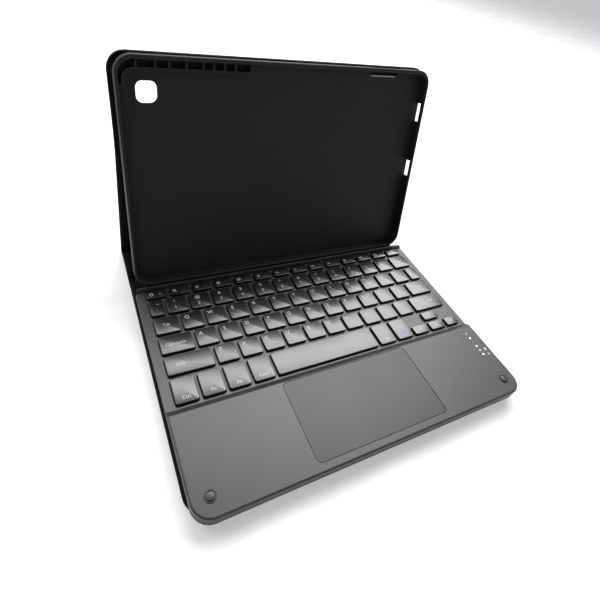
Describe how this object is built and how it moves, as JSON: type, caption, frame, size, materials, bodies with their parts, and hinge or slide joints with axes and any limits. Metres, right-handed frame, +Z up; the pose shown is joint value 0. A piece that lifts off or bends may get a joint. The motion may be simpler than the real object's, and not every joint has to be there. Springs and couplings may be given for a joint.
{
  "type": "tablet keyboard case",
  "caption": "Folding cover that stands a tablet tray behind a thin detachable keyboard with a touchpad; the cover folds shut over the keys.",
  "frame": {"origin": "centre of the base panel's underside, which lies on the table", "axes": "+X across the keyboard to the typist's right, +Y from the typist to the back, +Z up"},
  "size_m": [0.255, 0.2287, 0.1657],
  "materials": {
    "leather": "fine-grained black synthetic leather, satin",
    "lining": "black brushed microfibre",
    "greyboard": "pressed grey board",
    "magnet": "nickel-plated",
    "adhesive": "film adhesive",
    "soft_tray": "black soft moulded plastic, fine texture",
    "deck_plastic": "black satin moulded plastic",
    "shell_plastic": "black moulded plastic",
    "keycap": "black satin caps with white legends",
    "steel": "bare steel",
    "film": "translucent film",
    "dome_rubber": "silicone",
    "touchpad_plastic": "black satin",
    "circuit_board": "green solder resist",
    "bumper_rubber": "black soft rubber",
    "lens": "clear light pipe",
    "lamp": "small lamp",
    "battery_foil": "foil pouch",
    "switch_plastic": "black"
  },
  "bodies": {
    "base": {"base_skin": "leather", "base_board": "greyboard", "base_lining": "lining", "base_magnets": "magnet", "dock_ledge": "leather", "dock_magnets": "magnet"},
    "keyboard": {"deck": "deck_plastic", "lower_shell": "shell_plastic", "backplate": "steel", "membrane": "film", "light_guide": "film", "dome_sheet": "dome_rubber", "touchpad_bracket": "steel", "touchpad_switch": "steel", "left_bumper": "bumper_rubber", "right_bumper": "bumper_rubber", "main_board": "circuit_board", "indicator_lenses": "lens", "indicator_lamps": "lamp", "battery": "battery_foil", "keyboard_magnets": "magnet", "charging_port": "steel", "switch_body": "shell_plastic", "screws": "steel", "grip_pads": "bumper_rubber"},
    "touchpad_plate": {"touchpad": "touchpad_plastic", "touchpad_board": "circuit_board"},
    "switch_knob": {"power_slider": "switch_plastic"},
    "tray_back": {"tray": "soft_tray", "tray_adhesive": "adhesive", "upper_skin": "leather", "upper_board": "greyboard", "upper_lining": "lining"},
    "strut": {"strut_skin": "leather", "strut_board": "greyboard", "strut_lining": "lining"},
    "spine": {"spine_skin": "leather", "spine_board": "greyboard", "spine_lining": "lining"},
    "function_keys_body": {"function_keys": "keycap"},
    "number_keys_body": {"number_keys": "keycap"},
    "backspace_key_body": {"backspace_key": "keycap"},
    "tab_key_body": {"tab_key": "keycap"},
    "upper_letter_keys_body": {"upper_letter_keys": "keycap"},
    "caps_key_body": {"caps_key": "keycap"},
    "home_letter_keys_body": {"home_letter_keys": "keycap"},
    "enter_key_body": {"enter_key": "keycap"},
    "left_shift_key_body": {"left_shift_key": "keycap"},
    "lower_letter_keys_body": {"lower_letter_keys": "keycap"},
    "right_shift_key_body": {"right_shift_key": "keycap"},
    "modifier_keys_body": {"modifier_keys": "keycap"},
    "space_bar_body": {"space_bar": "keycap"},
    "right_modifier_keys_body": {"right_modifier_keys": "keycap"},
    "left_arrow_key_body": {"left_arrow_key": "keycap"},
    "down_arrow_key_body": {"down_arrow_key": "keycap"},
    "up_arrow_key_body": {"up_arrow_key": "keycap"},
    "right_arrow_key_body": {"right_arrow_key": "keycap"}
  },
  "joints": [
    {"name": "keyboard_slide", "type": "slide", "parent": "base", "child": "keyboard", "axis": [0, -1, 0], "range_m": [0, 0.17]},
    {"name": "tray_fold", "type": "hinge", "parent": "base", "child": "tray_back", "pos_m": [0, 0.07425, 0.0147], "axis": [1, 0, 0], "range_deg": [0, 106.5]},
    {"name": "strut_fold", "type": "hinge", "parent": "tray_back", "child": "strut", "pos_m": [0, 0.1168, 0.10963], "axis": [1, 0, 0], "range_deg": [-24.25, 0]},
    {"name": "spine_fold", "type": "hinge", "parent": "strut", "child": "spine", "pos_m": [0, 0.13148, 0.0016], "axis": [1, 0, 0], "range_deg": [0, 42.36]},
    {"name": "touchpad_click", "type": "slide", "parent": "keyboard", "child": "touchpad_plate", "axis": [0, 0, -1], "range_m": [0, 0.0004], "stiffness_N_per_m": 4000},
    {"name": "power_slide", "type": "slide", "parent": "keyboard", "child": "switch_knob", "axis": [0, 1, 0], "range_m": [0, 0.003]},
    {"name": "function_keys_press", "type": "slide", "parent": "keyboard", "child": "function_keys_body", "axis": [0, 0, -1], "range_m": [0, 0.0018], "stiffness_N_per_m": 1320},
    {"name": "number_keys_press", "type": "slide", "parent": "keyboard", "child": "number_keys_body", "axis": [0, 0, -1], "range_m": [0, 0.0018], "stiffness_N_per_m": 1320},
    {"name": "backspace_key_press", "type": "slide", "parent": "keyboard", "child": "backspace_key_body", "axis": [0, 0, -1], "range_m": [0, 0.0018], "stiffness_N_per_m": 330},
    {"name": "tab_key_press", "type": "slide", "parent": "keyboard", "child": "tab_key_body", "axis": [0, 0, -1], "range_m": [0, 0.0018], "stiffness_N_per_m": 330},
    {"name": "upper_letter_keys_press", "type": "slide", "parent": "keyboard", "child": "upper_letter_keys_body", "axis": [0, 0, -1], "range_m": [0, 0.0018], "stiffness_N_per_m": 1320},
    {"name": "caps_key_press", "type": "slide", "parent": "keyboard", "child": "caps_key_body", "axis": [0, 0, -1], "range_m": [0, 0.0018], "stiffness_N_per_m": 330},
    {"name": "home_letter_keys_press", "type": "slide", "parent": "keyboard", "child": "home_letter_keys_body", "axis": [0, 0, -1], "range_m": [0, 0.0018], "stiffness_N_per_m": 1320},
    {"name": "enter_key_press", "type": "slide", "parent": "keyboard", "child": "enter_key_body", "axis": [0, 0, -1], "range_m": [0, 0.0018], "stiffness_N_per_m": 330},
    {"name": "left_shift_key_press", "type": "slide", "parent": "keyboard", "child": "left_shift_key_body", "axis": [0, 0, -1], "range_m": [0, 0.0018], "stiffness_N_per_m": 330},
    {"name": "lower_letter_keys_press", "type": "slide", "parent": "keyboard", "child": "lower_letter_keys_body", "axis": [0, 0, -1], "range_m": [0, 0.0018], "stiffness_N_per_m": 1320},
    {"name": "right_shift_key_press", "type": "slide", "parent": "keyboard", "child": "right_shift_key_body", "axis": [0, 0, -1], "range_m": [0, 0.0018], "stiffness_N_per_m": 330},
    {"name": "modifier_keys_press", "type": "slide", "parent": "keyboard", "child": "modifier_keys_body", "axis": [0, 0, -1], "range_m": [0, 0.0018], "stiffness_N_per_m": 1320},
    {"name": "space_bar_press", "type": "slide", "parent": "keyboard", "child": "space_bar_body", "axis": [0, 0, -1], "range_m": [0, 0.0018], "stiffness_N_per_m": 330},
    {"name": "right_modifier_keys_press", "type": "slide", "parent": "keyboard", "child": "right_modifier_keys_body", "axis": [0, 0, -1], "range_m": [0, 0.0018], "stiffness_N_per_m": 660},
    {"name": "left_arrow_key_press", "type": "slide", "parent": "keyboard", "child": "left_arrow_key_body", "axis": [0, 0, -1], "range_m": [0, 0.0018], "stiffness_N_per_m": 330},
    {"name": "down_arrow_key_press", "type": "slide", "parent": "keyboard", "child": "down_arrow_key_body", "axis": [0, 0, -1], "range_m": [0, 0.0018], "stiffness_N_per_m": 330},
    {"name": "up_arrow_key_press", "type": "slide", "parent": "keyboard", "child": "up_arrow_key_body", "axis": [0, 0, -1], "range_m": [0, 0.0018], "stiffness_N_per_m": 330},
    {"name": "right_arrow_key_press", "type": "slide", "parent": "keyboard", "child": "right_arrow_key_body", "axis": [0, 0, -1], "range_m": [0, 0.0018], "stiffness_N_per_m": 330}
  ],
  "couplings": [
    {"joint": "strut_fold", "follows": "tray_fold", "ratio": -0.22756},
    {"joint": "spine_fold", "follows": "tray_fold", "ratio": 0.39753}
  ]
}
